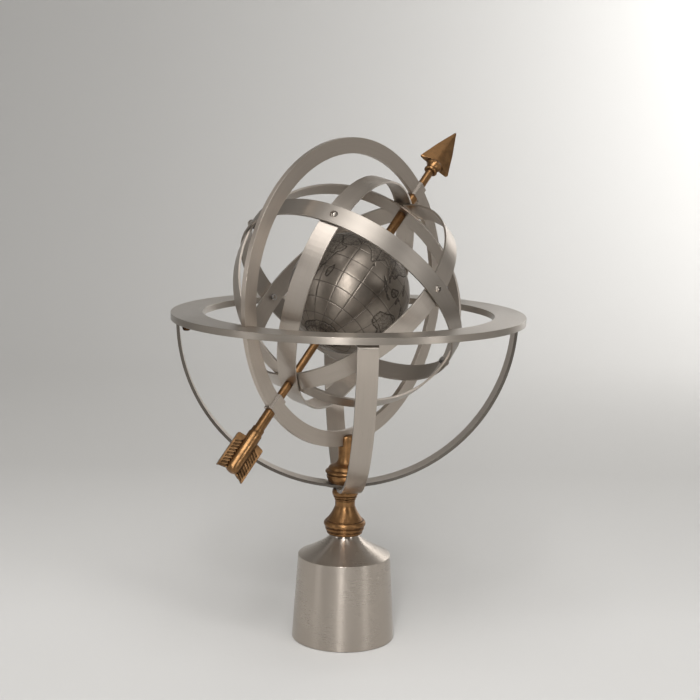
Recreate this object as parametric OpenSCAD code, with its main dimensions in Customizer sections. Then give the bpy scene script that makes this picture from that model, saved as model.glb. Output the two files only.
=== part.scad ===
// Table armillary sphere. A weighted base and two turned balusters carry a four-armed
// cradle and a flat horizon ring. A meridian ring slides in a fork and in two notches of
// the horizon ring, and holds the polar rod with its arrow, its band cage and its globe.
// The origin is the centre of the base at the table, +Z is up, and the arrow rises
// towards +X.

/* [Base] */
// Diameter of the shell at the table
foot_d = 86.4; // [83:0.2:92]
// Diameter of the sharp shoulder edge
shoulder_d = 77.8; // [74:0.2:81]
// Height of the shoulder edge above the table
shoulder_z = 71.6; // [62:0.2:82]
// Rise of the hollow cone from the shoulder to the neck
cone_h = 17.8; // [15:0.2:24]
// Diameter at which the cone turns up towards the neck
cone_bend_d = 26; // [25:0.5:36]
// Height above the shoulder at which the cone turns up
cone_bend_h = 12.4; // [9:0.2:13]
// Diameter of the flat top of the neck
neck_d = 24; // [21:0.2:25]
// Sheet thickness of the spun shell
shell_t = 1.5; // [1:0.1:2.2]
// Thickness of the felt pad that the object stands on
pad_t = 2; // [1.2:0.1:3]
// Thickness of the iron weight inside the shell
weight_h = 26; // [18:1:40]

/* [Clamping stud] */
// Diameter of the stud that ties base, balusters and cradle together
stud_d = 6; // [5:0.5:6.5]
// Length of stud screwed into the fork post
stud_grip = 14; // [10:0.5:18]
// Across flats of the nut under the weight
base_nut_af = 10; // [9:0.5:11]
// Height of the nut under the weight
base_nut_h = 5; // [4:0.5:6]
// Diameter of the washer under the weight
base_washer_d = 14; // [13:0.5:16]
// Thickness of the washer under the weight
base_washer_t = 1.2; // [0.8:0.1:2]

/* [Lower baluster] */
// Diameter of the foot where it sits on the neck
lower_foot_d = 25.6; // [24.4:0.2:28]
// Diameter at the bottom of the ring above the foot
lower_ring_d = 30.4; // [29:0.2:32]
// Largest diameter, round the middle of the rounded rim
lower_rim_d = 35.4; // [34:0.2:38]
// Diameter of the thin ridge above the rim
lower_ridge_d = 30.8; // [29:0.2:31.4]
// Diameter of the waist
lower_waist_d = 16.8; // [14:0.2:17]
// Diameter of the lower bead under the flange
lower_bead_d = 18; // [17.4:0.2:19.4]
// Diameter of the upper bead under the flange
upper_bead_d = 20; // [19.6:0.2:21.4]
// Diameter of the flange that carries the cradle
lower_flange_d = 22.2; // [21.6:0.2:25]
// Height of the rounded foot
lower_foot_h = 2.6; // [2:0.1:4]
// Height of the ring above the foot
lower_ring_h = 3.6; // [2.6:0.1:5]
// Height of the rounded rim
lower_rim_h = 5.6; // [4:0.1:7]
// Height of the long flare between the rim and the waist
lower_flare_h = 12.5; // [9:0.5:16]
// Height of the straight waist
lower_waist_h = 4.5; // [3:0.5:8]
// Height of each bead under the flange
lower_bead_h = 2.3; // [1.8:0.1:3]
// Height of the flange
lower_flange_h = 5.7; // [4:0.1:8]

/* [Cradle] */
// Width of the strips
strip_w = 16.2; // [14:0.2:18]
// Thickness of the strips
strip_t = 2.5; // [2:0.1:3]
// Length of the flat seat where the strips cross
seat_l = 26; // [25:1:34]
// Length of the bend between the seat and a round arm
seat_ease = 4; // [3:0.5:6]
// Outer radius of the bend under the horizon ring
bend_r = 4.1; // [3.4:0.1:4.1]
// Distance from the circle of the ring studs to the outside of the strips
strip_reach = 8.3; // [7.9:0.1:10]
// Length of a flange past the circle of the ring studs, towards the centre
flange_past = 8.7; // [5.5:0.1:10]

/* [Fork post] */
// Diameter of the foot that sits on the cradle
post_foot_d = 24.4; // [23:0.2:25]
// Diameter at the bottom of the ring above the foot
post_ring_d = 29.6; // [28.4:0.2:31]
// Largest diameter, round the middle of the rounded rim
post_rim_d = 34.2; // [33:0.2:37]
// Diameter of the round shoulder above the rim
post_shoulder_d = 29.4; // [27:0.2:30]
// Diameter at which the shoulder turns into the flare
post_flare_d = 20.2; // [18:0.2:22]
// Diameter of the fork at the top of the neck
post_neck_d = 13.8; // [12.8:0.2:16]
// Diameter of the neck where it is thinnest
post_waist_d = 13; // [11:0.2:13.6]
// Height of the rounded foot
post_foot_h = 2.4; // [2:0.1:4]
// Height of the ring above the foot
post_ring_h = 5.4; // [4:0.1:7]
// Height of the rounded rim
post_rim_h = 3.6; // [2.6:0.1:5]
// Height of the round shoulder
post_shoulder_h = 4.7; // [3.6:0.1:6]
// Height of the hollow flare between the shoulder and the waist
post_flare_h = 5.4; // [4:0.2:7]
// Height of the two fork cheeks beside the meridian ring
cheek_h = 9; // [7:0.2:11]
// Rounding at the top of the cheeks
cheek_round = 3.4; // [1:0.1:4]
// Diameter of the latitude screw
latitude_screw_d = 3; // [2.5:0.1:3.2]

/* [Horizon ring] */
// Width of the flat ring
horizon_w = 25.8; // [22:0.2:32]
// Distance that the meridian ring reaches into each of its two notches
horizon_bite = 7.3; // [5:0.1:9]
// Thickness
horizon_t = 5.4; // [4.8:0.1:7]
// Diameter of the studs under the ring
ring_stud_d = 4; // [3.5:0.1:4.2]
// Depth of the blind holes that hold the studs
ring_stud_depth = 3.4; // [2.5:0.1:3.8]
// Diameter of a cap nut where it meets the strip
cap_nut_d = 8.2; // [7.6:0.1:8.4]
// Diameter of a cap nut at its rounded end
cap_nut_end_d = 6.8; // [6:0.1:7.5]
// Height of a cap nut
cap_nut_h = 8; // [7:0.1:10]
// Depth of the blind hole in a cap nut
cap_nut_bore_l = 5; // [4:0.1:6]

/* [Meridian ring] */
// Gap between the equator band and the inside of the meridian ring
meridian_gap = 15.2; // [12:0.2:20]
// Width of the flat ring
meridian_w = 12.9; // [10:0.1:16]
// Thickness
meridian_t = 4; // [3:0.1:4.6]
// Height of the sphere's centre above the top of the horizon ring
centre_rise = 15.5; // [12:0.5:19]
// Altitude of the polar axis at rest, in degrees
latitude = 42; // [40:1:44]
// Width of the two bosses that hold the rod
boss_d = 12; // [10:0.5:13]
// Thickness of a boss, between the flats that face the same way as the ring
boss_t = 8.4; // [7.6:0.1:9.6]
// Length of a boss past each edge of the ring
boss_proud = 0.7; // [0.4:0.1:1.2]

/* [Cage] */
// Outer diameter of the equator band
equator_d = 198.4; // [170:0.2:230]
// Width of the bands
band_w = 16.6; // [14:0.2:18]
// Thickness of the bands
band_t = 1.6; // [1.2:0.1:2]
// Turn of the first colure about the polar axis, in degrees
cage_turn = 20; // [0:1:59]
// Diameter of the cage screws
cage_screw_d = 3; // [2.5:0.1:3.5]
// Diameter of the round screw heads
cage_head_d = 6.4; // [5.6:0.1:7.4]
// Height of the round screw heads
cage_head_h = 2.2; // [1.6:0.1:2.8]
// Across flats of the nuts inside the cage
cage_nut_af = 5.5; // [5:0.1:6.5]
// Height of the nuts inside the cage
cage_nut_h = 2.4; // [1.8:0.1:3]

/* [Polar rod] */
// Diameter of the rod
rod_d = 5; // [4:0.1:5.4]
// Length of rod inside the arrowhead and inside the fletching
rod_grip = 16; // [12:0.5:20]
// Diameter of the sleeve between the cage and the upper boss
north_sleeve_d = 9; // [7:0.2:10]
// Diameter of the sleeve between the globe and the top of the cage
north_inner_sleeve_d = 8; // [7:0.2:10]
// Diameter of the sleeve between the globe and the bottom of the cage
south_inner_sleeve_d = 6.4; // [6.2:0.2:10]
// Diameter of the sleeve between the cage and the lower boss
south_sleeve_d = 7; // [6.4:0.2:10]
// Diameter of the sleeve between the lower boss and the fletching
tail_sleeve_d = 8.4; // [7:0.2:10]
// Length of the sleeve between the lower boss and the fletching
tail_sleeve_l = 17; // [14:0.5:22]

/* [Arrowhead] */
// Length of the round shank between the upper boss and the collar
head_shank_l = 18; // [14:0.5:24]
// Diameter of the shank
head_shank_d = 7; // [6.4:0.1:8]
// Diameter of the collar bead
head_collar_d = 12; // [10:0.2:13]
// Width of the collar bead
head_collar_w = 3; // [2:0.2:4]
// Length of the flared neck between the collar and the barb corners
head_neck_l = 4; // [3:0.5:6]
// Diameter of the neck where it flares into the blade
head_flare_d = 14.8; // [13.4:0.2:16]
// Length from the barb corners to the tip
head_blade_l = 43; // [38:0.5:50]
// Width across the barbs
head_blade_w = 30; // [26:0.5:36]
// Thickness at the ridge, over the barbs
head_blade_t = 12.4; // [10:0.2:14]
// Thickness of the blunt cutting edges
head_edge_t = 1.8; // [0.8:0.1:2.4]
// Width of the blunt tip
head_tip_w = 1.4; // [0.6:0.1:2.4]
// Depth of the shallow hollow between the barbs
head_hollow = 2.6; // [1.5:0.1:4]
// Turn of the blade about the polar axis, in degrees
head_turn = 146; // [0:1:179]

/* [Fletching] */
// Diameter of the round body
tail_body_d = 11.4; // [10:0.2:13]
// Length of the round body
tail_body_l = 43; // [40:0.5:50]
// Diameter of the collar at the front of the body
tail_collar_d = 10; // [9:0.2:10.6]
// Length of the collar at the front of the body
tail_collar_l = 5; // [3:0.5:8]
// Distance from the front of the body to the vanes
vane_start = 11; // [9:0.5:14]
// Length of a vane along its outer edge
vane_l = 34; // [28:0.5:40]
// Distance from the rod's centre to the outer edge of a vane
vane_reach = 12.4; // [11:0.2:15]
// Backward sweep of the vane's front and rear edges
vane_sweep = 4.5; // [2:0.5:7]
// Thickness of a vane
vane_t = 2.4; // [1.8:0.1:3]
// Width of the plain rim along the outer edge of a vane
vane_rim = 1.6; // [1:0.1:2.4]
// Number of barb grooves on each side of a vane
barb_count = 9; // [5:1:10]
// Width of a barb groove
barb_w = 1.5; // [1:0.1:1.9]
// Depth of a barb groove
barb_depth = 0.7; // [0.3:0.1:0.8]
// Turn of the vanes about the polar axis, in degrees
tail_turn = 150; // [0:1:179]

/* [Globe] */
// Diameter of the globe
globe_d = 100; // [92:0.5:106]
// Sheet thickness of the two half shells
globe_wall = 1.2; // [0.8:0.1:2]
// Diameter of the bearing tube inside the globe
globe_tube_d = 9; // [8:0.2:12]

/* [Clearances] */
// Radial running gap of the rod in its bores
run_gap = 0.05; // [0.02:0.01:0.08]
// Axial gap beside a part that turns
end_gap = 0.2; // [0.1:0.05:0.3]
// Gap on each side of the meridian ring in the fork and the notches
slide_gap = 0.2; // [0.15:0.05:0.3]
// Gap between the meridian ring's rim and the floor of the fork or a notch
rim_gap = 0.3; // [0.2:0.05:0.6]
// Radial gap of screws and studs in their holes
hole_gap = 0.1; // [0.05:0.05:0.2]
// Gap between bands that cross, which their curvature needs
cross_gap = 0.5; // [0.45:0.05:0.8]
// Gap between the weight and the shell
weight_gap = 0.2; // [0.1:0.05:0.4]
// Height of the shell's lower edge above the table
shell_lift = 0.3; // [0.1:0.1:0.8]

/* [Hidden] */
$fn = 96;

// Overlap used where one cut or one joined form runs past another
eps = 0.1;
// Depth and height of the fine grooves between turned rings
groove = 0.4;

// Depth of the pocket that hides the nut under the weight
weight_pocket_h = base_washer_t + base_nut_h + 3;

// Radii of the rings and of the cradle, each built out from the one inside it
equator_r = equator_d / 2;
meridian_hole_r = equator_r + meridian_gap;
meridian_r = meridian_hole_r + meridian_w;
horizon_hole_r = meridian_r - horizon_bite;
horizon_r = horizon_hole_r + horizon_w;
ring_stud_pcr = (horizon_r + horizon_hole_r) / 2;
cradle_r = ring_stud_pcr + strip_reach;

// Heights of the stack on the vertical axis
neck_z = shoulder_z + cone_h;
cradle_z = neck_z + lower_foot_h + lower_ring_h + lower_rim_h + lower_flare_h
    + lower_waist_h + 2 * lower_bead_h + lower_flange_h;
post_z = cradle_z + 2 * strip_t;
horizon_z = cradle_z + cradle_r + strip_t;
horizon_top = horizon_z + horizon_t;
centre_z = horizon_top + centre_rise;
fork_floor_z = centre_z - meridian_r - rim_gap;
stud_hole_r = stud_d / 2 + hole_gap;
slot_w = meridian_t + 2 * slide_gap;

// Stations along the polar axis, measured from the sphere's centre
rod_hole_r = rod_d / 2 + run_gap;
colure_r = equator_r - band_t - cross_gap;
pole_pitch = band_t + cross_gap;
cage_top_s = colure_r + pole_pitch;
cage_inner_s = colure_r - pole_pitch - band_t;
boss_in_s = meridian_hole_r - boss_proud;
boss_out_s = meridian_r + boss_proud;
globe_r = globe_d / 2;
head_s = boss_out_s + end_gap + head_shank_l;
tail_s = boss_out_s + end_gap + tail_sleeve_l;

nickel = [0.62, 0.60, 0.57];
brass = [0.45, 0.29, 0.14];
dark_brass = [0.24, 0.17, 0.12];
steel = [0.55, 0.54, 0.52];
iron = [0.28, 0.28, 0.30];
felt = [0.10, 0.16, 0.12];

// Point of a quadratic curve from a to c, pulled towards b
function curve_point(a, b, c, t) = (1 - t) * (1 - t) * a + 2 * t * (1 - t) * b + t * t * c;
function curve(a, b, c, steps = 10) = [for (i = [0 : steps]) curve_point(a, b, c, i / steps)];

// Outer radius of the shell's tapered wall at a height
function wall_r(z) = foot_d / 2
    + (shoulder_d - foot_d) / 2 * (z - shell_lift) / (shoulder_z - shell_lift);

// A hollow cylinder
module tube(r, hole_r, h) {
    difference() {
        cylinder(r = r, h = h);
        translate([0, 0, -eps]) cylinder(r = hole_r, h = h + 2 * eps);
    }
}

// Puts children on the polar axis, with +Z along it and the origin at the centre
module on_polar_axis() {
    translate([0, 0, centre_z]) rotate([0, 90 - latitude, 0]) children();
}

// Base

module base_shell() {
    inner_top = 1.3 * shell_t;
    bend = [cone_bend_d / 2, shoulder_z + cone_bend_h];
    outside = concat(
        [[0, shell_lift], [foot_d / 2, shell_lift]],
        curve([shoulder_d / 2, shoulder_z], bend, [neck_d / 2, neck_z]),
        [[0, neck_z]]
    );
    inside = concat(
        [[0, shell_lift - 1], [wall_r(shell_lift - 1) - shell_t, shell_lift - 1]],
        curve([wall_r(shoulder_z) - shell_t, shoulder_z - shell_t],
            bend - [0, inner_top], [neck_d / 2 - shell_t, neck_z - inner_top]),
        [[0, neck_z - inner_top]]
    );
    color(nickel)
    difference() {
        rotate_extrude() difference() {
            polygon(outside);
            polygon(inside);
        }
        translate([0, 0, neck_z - 3 * shell_t]) cylinder(r = stud_hole_r, h = 4 * shell_t);
    }
}

module base_weight() {
    top = pad_t + weight_h;
    pocket_r = base_washer_d / 2 + 1;
    pocket_top = pad_t + weight_pocket_h;
    color(iron)
    difference() {
        rotate_extrude() polygon([
            [0, pad_t], [wall_r(pad_t) - shell_t - weight_gap, pad_t],
            [wall_r(top) - shell_t - weight_gap, top], [0, top]
        ]);
        translate([0, 0, pad_t - eps]) cylinder(r = pocket_r, h = weight_pocket_h + eps);
        translate([0, 0, pocket_top - eps]) cylinder(r = stud_hole_r, h = weight_h + eps);
    }
}

module base_pad() {
    color(felt) cylinder(r = wall_r(0) - shell_t - weight_gap, h = pad_t);
}

module base_stud() {
    bottom = pad_t + 1.5;
    color(steel) translate([0, 0, bottom])
        cylinder(r = stud_d / 2, h = post_z + stud_grip - bottom);
}

module base_washer() {
    color(steel) translate([0, 0, pad_t + weight_pocket_h - base_washer_t])
        tube(base_washer_d / 2, stud_hole_r, base_washer_t);
}

module base_nut() {
    color(steel) translate([0, 0, pad_t + weight_pocket_h - base_washer_t - base_nut_h])
        hex_nut(base_nut_af, base_nut_h, stud_d / 2 + run_gap);
}

// Plain hexagon nut with its corners turned off
module hex_nut(af, h, hole_r) {
    corner_r = af / 2 / cos(30);
    difference() {
        intersection() {
            cylinder(r = corner_r, h = h, $fn = 6);
            rotate_extrude() polygon([
                [0, 0], [af / 2, 0], [corner_r + eps, (corner_r - af / 2 + eps) * 0.6],
                [corner_r + eps, h - (corner_r - af / 2 + eps) * 0.6], [af / 2, h], [0, h]
            ]);
        }
        translate([0, 0, -eps]) cylinder(r = hole_r, h = h + 2 * eps);
    }
}

// Balusters

// A turned bead: a half round on a straight stem
function bead(r, z, h, steps = 6) = [
    for (i = [0 : steps]) [r - h / 2 + h / 2 * sin(180 * i / steps), z + h / 2 - h / 2 * cos(180 * i / steps)]
];

// A rounded ring, whose outline swells or sinks to its middle radius
function ring(low_r, mid_r, top_r, z, h, steps = 6) =
    curve([low_r, z], [2 * mid_r - (low_r + top_r) / 2, z + h / 2], [top_r, z + h], steps);

// Outline of a turned bowl: a flared foot, a ring and a wider round rim, with a fine groove
// between each. A short upright foot keeps it clear of what bends up beside its seat.
function bowl(z, foot_r, ring_r, rim_r, upright, foot_h, ring_h, rim_h) =
    let (ring_z = z + foot_h, rim_z = ring_z + ring_h, rim_low_r = rim_r - 1.3) concat(
        [[0, z], [foot_r, z]],
        curve([foot_r, z + upright], [ring_r, z + upright + 0.3], [ring_r, ring_z - groove], 5),
        [[ring_r - groove, ring_z]],
        ring(ring_r, (ring_r + rim_low_r) / 2 + 0.5, rim_low_r, ring_z + groove,
            ring_h - 2 * groove),
        [[rim_low_r - groove, rim_z]],
        ring(rim_low_r, rim_r, rim_low_r, rim_z + groove, rim_h - groove)
    );

module lower_baluster() {
    ridge_z = neck_z + lower_foot_h + lower_ring_h + lower_rim_h;
    waist_z = ridge_z + lower_flare_h;
    bead_z = waist_z + lower_waist_h;
    flange_z = bead_z + 2 * lower_bead_h;
    ridge_r = lower_ridge_d / 2;
    ridge_h = 1;
    waist_r = lower_waist_d / 2;
    flange_r = lower_flange_d / 2;
    color(brass)
    difference() {
        rotate_extrude() polygon(concat(
            bowl(neck_z, lower_foot_d / 2, lower_ring_d / 2, lower_rim_d / 2, 0,
                lower_foot_h, lower_ring_h, lower_rim_h),
            [[ridge_r, ridge_z + eps], [ridge_r, ridge_z + ridge_h]],
            curve([ridge_r - groove, ridge_z + ridge_h + eps],
                [waist_r + 2.6, ridge_z + 0.45 * lower_flare_h], [waist_r, waist_z], 12),
            [[waist_r, bead_z]],
            bead(lower_bead_d / 2, bead_z, lower_bead_h),
            bead(upper_bead_d / 2, bead_z + lower_bead_h, lower_bead_h),
            curve([flange_r - 1, flange_z], [flange_r, flange_z + 0.5],
                [flange_r, flange_z + lower_flange_h / 2], 5),
            [[flange_r - 0.9, cradle_z], [0, cradle_z]]
        ));
        translate([0, 0, neck_z - eps])
            cylinder(r = stud_hole_r, h = cradle_z - neck_z + 2 * eps);
    }
}

module fork_post() {
    shoulder_z = post_z + post_foot_h + post_ring_h + post_rim_h;
    flare_z = shoulder_z + post_shoulder_h;
    waist_z = flare_z + post_flare_h;
    top_z = fork_floor_z + cheek_h;
    shoulder_r = post_shoulder_d / 2;
    flare_r = post_flare_d / 2;
    neck_r = post_neck_d / 2;
    waist_r = post_waist_d / 2;
    // Rise of the cradle's arms beside the post's foot, with room to spare
    upright = 0.9;
    color(brass)
    difference() {
        rotate_extrude() polygon(concat(
            bowl(post_z, post_foot_d / 2, post_ring_d / 2, post_rim_d / 2, upright,
                post_foot_h, post_ring_h, post_rim_h),
            curve([shoulder_r, shoulder_z + groove], [shoulder_r, flare_z - 1.2],
                [flare_r, flare_z], 6),
            curve([flare_r - eps, flare_z + eps], [waist_r + 0.4, flare_z + 1],
                [waist_r, waist_z], 8),
            curve([waist_r, waist_z + 1], [waist_r, fork_floor_z - 2],
                [neck_r, fork_floor_z], 5),
            curve([neck_r, top_z - cheek_round], [neck_r, top_z],
                [neck_r - cheek_round, top_z], 6),
            [[0, top_z]]
        ));
        translate([0, 0, post_z - eps])
            cylinder(r = stud_hole_r, h = stud_grip + 1 + eps);
        translate([-post_neck_d, -slot_w / 2, fork_floor_z])
            cube([2 * post_neck_d, slot_w, cheek_h + eps]);
        latitude_screw_axis() cylinder(r = latitude_screw_d / 2 + hole_gap, h = neck_r);
    }
}

// Puts children on the latitude screw's axis, with +Z pointing out of the rear cheek
module latitude_screw_axis() {
    translate([0, slot_w / 2 - eps, fork_floor_z + cheek_h / 2]) rotate([-90, 0, 0]) children();
}

module latitude_screw() {
    length = post_neck_d / 2 - slot_w / 2 - 0.2;
    color(steel)
    latitude_screw_axis() translate([0, 0, 2 * eps]) difference() {
        cylinder(r = latitude_screw_d / 2, h = length);
        translate([-latitude_screw_d, -0.3, length - 0.9]) cube([2 * latitude_screw_d, 0.6, 1]);
    }
}

// Cradle

// Side view of a half-round strip with its flat seat and its two flanges.
// A raised strip crosses over the other one, and its flanges stay level with it.
module strip_outline(raise) {
    seat_z = cradle_z + raise;
    middle_z = seat_z + cradle_r;
    inner_r = cradle_r - strip_t;
    bend_z = horizon_z - bend_r;
    bend_x = sqrt(cradle_r * cradle_r - pow(middle_z - bend_z, 2)) - bend_r;
    flange_x = ring_stud_pcr - flange_past;
    arm_x = seat_l / 2 + seat_ease;
    difference() {
        translate([0, middle_z]) difference() {
            circle(r = cradle_r, $fn = 240);
            circle(r = inner_r, $fn = 240);
        }
        translate([-cradle_r - 1, bend_z]) square(2 * cradle_r + 2);
        translate([-arm_x, seat_z - 1]) square([2 * arm_x, 3 * strip_t]);
    }
    translate([-seat_l / 2, seat_z]) square([seat_l, strip_t]);
    for (side = [0, 1]) mirror([side, 0]) {
        polygon([
            [seat_l / 2, seat_z], [arm_x, middle_z - sqrt(cradle_r * cradle_r - arm_x * arm_x)],
            [arm_x, middle_z - sqrt(inner_r * inner_r - arm_x * arm_x)],
            [seat_l / 2, seat_z + strip_t]
        ]);
        polygon(concat(
            [for (p = curve_arc(bend_r)) [bend_x + p.x, bend_z + p.y]],
            [[flange_x, horizon_z], [flange_x, horizon_z - strip_t]],
            [for (p = curve_arc(bend_r - strip_t, reverse = true)) [bend_x + p.x, bend_z + p.y]]
        ));
    }
}

// Quarter circle from +X to +Y about the origin
function curve_arc(r, reverse = false, steps = 8) = [
    for (i = [0 : steps]) let (a = 90 * (reverse ? steps - i : i) / steps) [r * cos(a), r * sin(a)]
];

// A strip standing in the vertical plane at an angle from +X
module cradle_strip(angle, raise) {
    color(nickel)
    rotate([0, 0, angle]) difference() {
        rotate([90, 0, 0]) translate([0, 0, -strip_w / 2])
            linear_extrude(strip_w) strip_outline(raise);
        translate([0, 0, cradle_z - 1]) cylinder(r = stud_hole_r, h = 3 * strip_t + 1);
        for (side = [-1, 1])
            translate([side * ring_stud_pcr, 0, horizon_z - 2 * strip_t])
                cylinder(r = ring_stud_d / 2 + hole_gap, h = 3 * strip_t);
    }
}

module lower_cradle_strip() {
    cradle_strip(45, 0);
}

module upper_cradle_strip() {
    cradle_strip(135, strip_t);
}

// Horizon ring

// Puts one copy of the children over each of the four cradle flanges
module at_ring_studs(z) {
    for (angle = [45 : 90 : 315])
        rotate([0, 0, angle]) translate([ring_stud_pcr, 0, z]) children();
}

module horizon_ring() {
    notch_r = sqrt(meridian_r * meridian_r - centre_rise * centre_rise) + rim_gap;
    color(nickel)
    difference() {
        translate([0, 0, horizon_z]) cylinder(r = horizon_r, h = horizon_t, $fn = 240);
        translate([0, 0, horizon_z - eps])
            cylinder(r = horizon_hole_r, h = horizon_t + 2 * eps, $fn = 240);
        translate([-notch_r, -slot_w / 2, horizon_z - eps])
            cube([2 * notch_r, slot_w, horizon_t + 2 * eps]);
        at_ring_studs(horizon_z - eps)
            cylinder(r = ring_stud_d / 2 + hole_gap, h = ring_stud_depth + eps);
    }
}

module ring_studs() {
    below = strip_t + cap_nut_bore_l - hole_gap;
    color(steel) at_ring_studs(horizon_z - below)
        cylinder(r = ring_stud_d / 2, h = below + ring_stud_depth - hole_gap);
}

// Tapered round nut with a blind hole, drawn from the strip downwards
module cap_nuts() {
    end_r = cap_nut_end_d / 2;
    color(dark_brass)
    at_ring_studs(horizon_z - strip_t) mirror([0, 0, 1]) difference() {
        rotate_extrude() polygon(concat(
            [[0, 0], [cap_nut_d / 2, 0], [cap_nut_d / 2, 0.8]],
            curve([end_r + 0.2, cap_nut_h / 2], [end_r, cap_nut_h], [end_r / 2, cap_nut_h], 6),
            [[0, cap_nut_h]]
        ));
        translate([0, 0, -eps])
            cylinder(r = ring_stud_d / 2 + run_gap, h = cap_nut_bore_l + eps);
    }
}

// Meridian ring

module meridian_ring() {
    color(nickel)
    difference() {
        union() {
            translate([0, meridian_t / 2, centre_z]) rotate([90, 0, 0])
                cylinder(r = meridian_r, h = meridian_t, $fn = 240);
            bosses();
        }
        difference() {
            translate([0, meridian_t, centre_z]) rotate([90, 0, 0])
                cylinder(r = meridian_hole_r, h = 2 * meridian_t, $fn = 240);
            on_polar_axis() cylinder(d = boss_d, h = 2 * boss_out_s, center = true);
        }
        on_polar_axis() cylinder(d = boss_d + eps, h = 2 * boss_in_s, center = true);
        on_polar_axis() cylinder(r = rod_hole_r, h = 3 * boss_out_s, center = true);
    }
}

// The two bosses: round lugs with a flat on each face of the ring
module bosses() {
    length = boss_out_s - boss_in_s;
    on_polar_axis() for (side = [0, 1]) mirror([0, 0, side])
        translate([0, 0, boss_in_s]) intersection() {
            cylinder(d = boss_d, h = length);
            translate([-boss_d, -boss_t / 2, 0]) cube([2 * boss_d, boss_t, length]);
        }
}

// Polar rod and arrow

module polar_rod() {
    top = head_s + rod_grip;
    bottom = tail_s + rod_grip;
    color(steel) on_polar_axis() translate([0, 0, -bottom])
        cylinder(d = rod_d, h = top + bottom);
}

module sleeve(d, from, to) {
    color(brass) on_polar_axis() translate([0, 0, from])
        tube(d / 2, rod_d / 2 + run_gap, to - from);
}

module north_sleeve() {
    sleeve(north_sleeve_d, cage_top_s + end_gap, boss_in_s - end_gap);
}

module north_inner_sleeve() {
    sleeve(north_inner_sleeve_d, globe_r + end_gap, cage_inner_s - end_gap);
}

module south_inner_sleeve() {
    sleeve(south_inner_sleeve_d, -cage_inner_s + end_gap, -globe_r - end_gap);
}

module south_sleeve() {
    sleeve(south_sleeve_d, -boss_in_s + end_gap, -cage_top_s - end_gap);
}

module tail_sleeve() {
    sleeve(tail_sleeve_d, -tail_s, -boss_out_s - end_gap);
}

// Thin slab across the blade at a distance from the barb corners, with a soft ridge
module blade_slab(z, width, thick, edge) {
    side = curve([width / 2, edge / 2], [width / 12, thick / 2], [0, thick / 2], 4);
    back = [for (i = [len(side) - 2 : -1 : 0]) side[i]];
    translate([0, 0, z]) linear_extrude(0.01) polygon(concat(
        side, [for (p = back) [-p.x, p.y]], [for (p = side) -p], [for (p = back) [p.x, -p.y]]
    ));
}

module arrowhead() {
    barb_s = head_s + head_collar_w + head_neck_l;
    neck_r = head_collar_d / 2 - 0.6;
    flare_r = head_flare_d / 2;
    flare_h = head_collar_w + head_neck_l + 1;
    hub_h = flare_h + head_hollow + 1;
    color(brass)
    on_polar_axis() rotate([0, 0, head_turn]) difference() {
        union() {
            translate([0, 0, boss_out_s + end_gap])
                cylinder(d = head_shank_d, h = head_shank_l + eps);
            translate([0, 0, head_s]) rotate_extrude() polygon(concat(
                [[0, 0]], bead(head_collar_d / 2, 0, head_collar_w),
                curve([neck_r, head_collar_w], [neck_r, flare_h - 2], [flare_r, flare_h], 6),
                [[flare_r - 2, hub_h], [0, hub_h]]
            ));
            difference() {
                translate([0, 0, barb_s]) blade();
                blade_hollow(barb_s);
            }
        }
        cylinder(r = rod_hole_r, h = head_s + rod_grip + hole_gap);
    }
}

// Blade of diamond section with slightly rounded sides, blunt barb corners and a blunt tip
module blade() {
    middle = 0.5;
    belly = 0.07;
    corner = 1.2;
    hull() {
        blade_slab(0, head_blade_w - 2 * corner, head_blade_t, head_edge_t);
        blade_slab(corner, head_blade_w, head_blade_t, head_edge_t);
        blade_slab(head_blade_l * middle, head_blade_w * (1 - middle + belly),
            head_blade_t * (1 - middle + belly), head_edge_t);
        blade_slab(head_blade_l, head_tip_w, head_tip_w, head_tip_w / 2);
    }
}

// Round hollow cut into the rear of the blade, one half on each side of the hub
module blade_hollow(barb_s) {
    half_w = head_blade_w / 2 - 1;
    r = (half_w * half_w + head_hollow * head_hollow) / (2 * head_hollow);
    translate([0, head_blade_w / 2, barb_s + head_hollow - r]) rotate([90, 0, 0])
        cylinder(r = r, h = head_blade_w, $fn = 120);
}

// Flat outline of one vane, from the rod outwards, with its tail at lower y
module vane_outline() {
    polygon([
        [0, 0], [vane_reach - 1, -vane_sweep / 2 + 0.5], [vane_reach, -vane_sweep / 2 - 0.5],
        [vane_reach, -vane_l], [0, -vane_l + vane_sweep]
    ]);
}

// Slanted grooves between the round body and the rim of a vane
module vane_grooves() {
    pitch = (vane_l - vane_sweep - 3) / barb_count;
    reach = vane_reach - vane_rim;
    intersection() {
        translate([0, -vane_l]) square([reach, vane_l]);
        for (i = [0 : barb_count - 1])
            translate([0, -2 - i * pitch]) rotate(-32)
                translate([0, -barb_w]) square([2 * reach, barb_w]);
    }
}

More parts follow.
